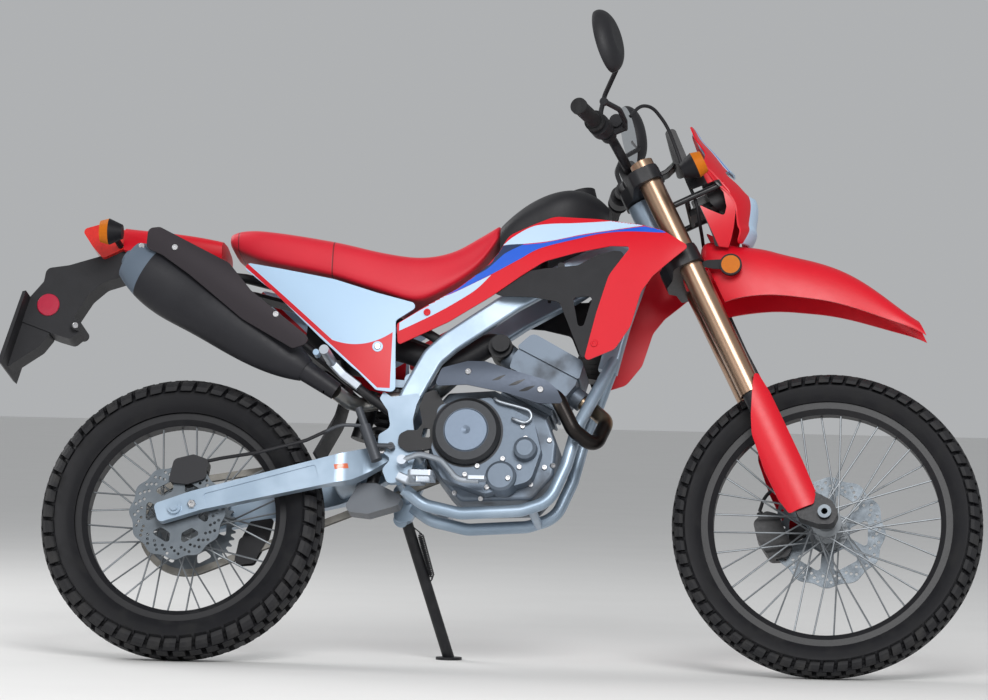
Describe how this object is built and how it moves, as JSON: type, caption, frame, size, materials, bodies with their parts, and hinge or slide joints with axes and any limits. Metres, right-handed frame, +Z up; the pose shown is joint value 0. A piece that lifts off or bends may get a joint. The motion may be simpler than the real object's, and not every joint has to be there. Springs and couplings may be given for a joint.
{
  "type": "dual sport motorcycle",
  "caption": "Tall single-cylinder dual sport motorcycle on wire wheels, leaning on its side stand, with a long fork, a high front fender, a slim seat and an upswept silencer.",
  "frame": {"origin": "on the road under the middle of the leaning machine's bounding box", "axes": "+X forward along the machine, +Y to the rider's left, +Z up; the machine leans left onto its stand"},
  "size_m": [2.2366, 0.8382, 1.4786],
  "materials": {
    "tyre_black": "matte moulded tread",
    "black_anodised": "satin black anodised rim",
    "silver_casting": "satin cast aluminium",
    "disc_steel": "ground stainless",
    "plated_steel": "plated",
    "frame_silver": "silver paint",
    "black_steel": "satin black paint",
    "engine_grey": "grey painted castings",
    "pipe_steel": "stainless",
    "silencer_black": "heat-resistant black",
    "red_plastic": "moulded red, semi-gloss",
    "white_plastic": "moulded white panel",
    "black_plastic": "grained black",
    "seat_cover": "red ribbed seat cover",
    "gold_tube": "gold anodised fork tube",
    "rubber": "moulded",
    "clear_lens": "clear lens",
    "red_lens": "red lens",
    "amber_lens": "amber lens",
    "chain_steel": "oiled steel"
  },
  "bodies": {
    "chassis": {"main_frame": "frame_silver", "cradle": "frame_silver", "subframe": "frame_silver", "crankcase": "engine_grey", "cylinder_head": "engine_grey", "engine_covers": "engine_grey", "exhaust_header": "pipe_steel", "muffler": "silencer_black", "heat_shields": "silver_casting", "swingarm": "silver_casting", "shock": "black_steel", "chain": "chain_steel", "chain_guides": "black_plastic", "rear_brake": "silver_casting", "radiator": "black_steel", "fuel_tank": "black_plastic", "tank_shrouds": "red_plastic", "shroud_supports": "black_plastic", "seat": "seat_cover", "side_covers": "white_plastic", "airbox": "black_plastic", "tail_fender": "red_plastic", "plate_bracket": "black_plastic", "tail_light": "red_lens", "rear_indicators": "amber_lens", "foot_pegs": "silver_casting", "foot_levers": "silver_casting"},
    "steering": {"fork_clamps": "black_steel", "fork_tubes": "gold_tube", "fork_legs": "black_steel", "fork_guards": "red_plastic", "front_fender": "red_plastic", "headlight_mask": "red_plastic", "headlight": "clear_lens", "instrument": "black_plastic", "handlebar": "black_steel", "grips": "rubber", "bar_controls": "black_plastic", "mirrors": "black_plastic", "front_indicators": "amber_lens", "front_caliper": "black_steel", "front_hose": "rubber", "front_axle": "plated_steel"},
    "front_wheel": {"front_tyre": "tyre_black", "front_rim": "black_anodised", "front_hub": "silver_casting", "front_disc": "disc_steel"},
    "rear_wheel": {"rear_tyre": "tyre_black", "rear_rim": "black_anodised", "rear_hub": "silver_casting", "rear_disc": "disc_steel", "rear_sprocket": "disc_steel"},
    "side_stand": {"side_stand": "black_steel"}
  },
  "joints": [
    {"name": "steering", "type": "hinge", "parent": "chassis", "child": "steering", "pos_m": [0.35804, -0.05485, 0.98404], "axis": [-0.454, 0.2456, 0.8565], "range_deg": [-43, 43]},
    {"name": "front_wheel_spin", "type": "hinge", "parent": "steering", "child": "front_wheel", "pos_m": [0.77273, -0.24063, 0.33615], "axis": [0, 0.9613, -0.2756], "continuous": true},
    {"name": "rear_wheel_spin", "type": "hinge", "parent": "chassis", "child": "rear_wheel", "pos_m": [-0.68227, -0.24688, 0.31436], "axis": [0, 0.9613, -0.2756], "continuous": true},
    {"name": "side_stand_fold", "type": "hinge", "parent": "chassis", "child": "side_stand", "pos_m": [-0.19327, -0.12159, 0.33045], "axis": [0.2667, 0.8903, 0.3691], "range_deg": [0, 90]}
  ]
}
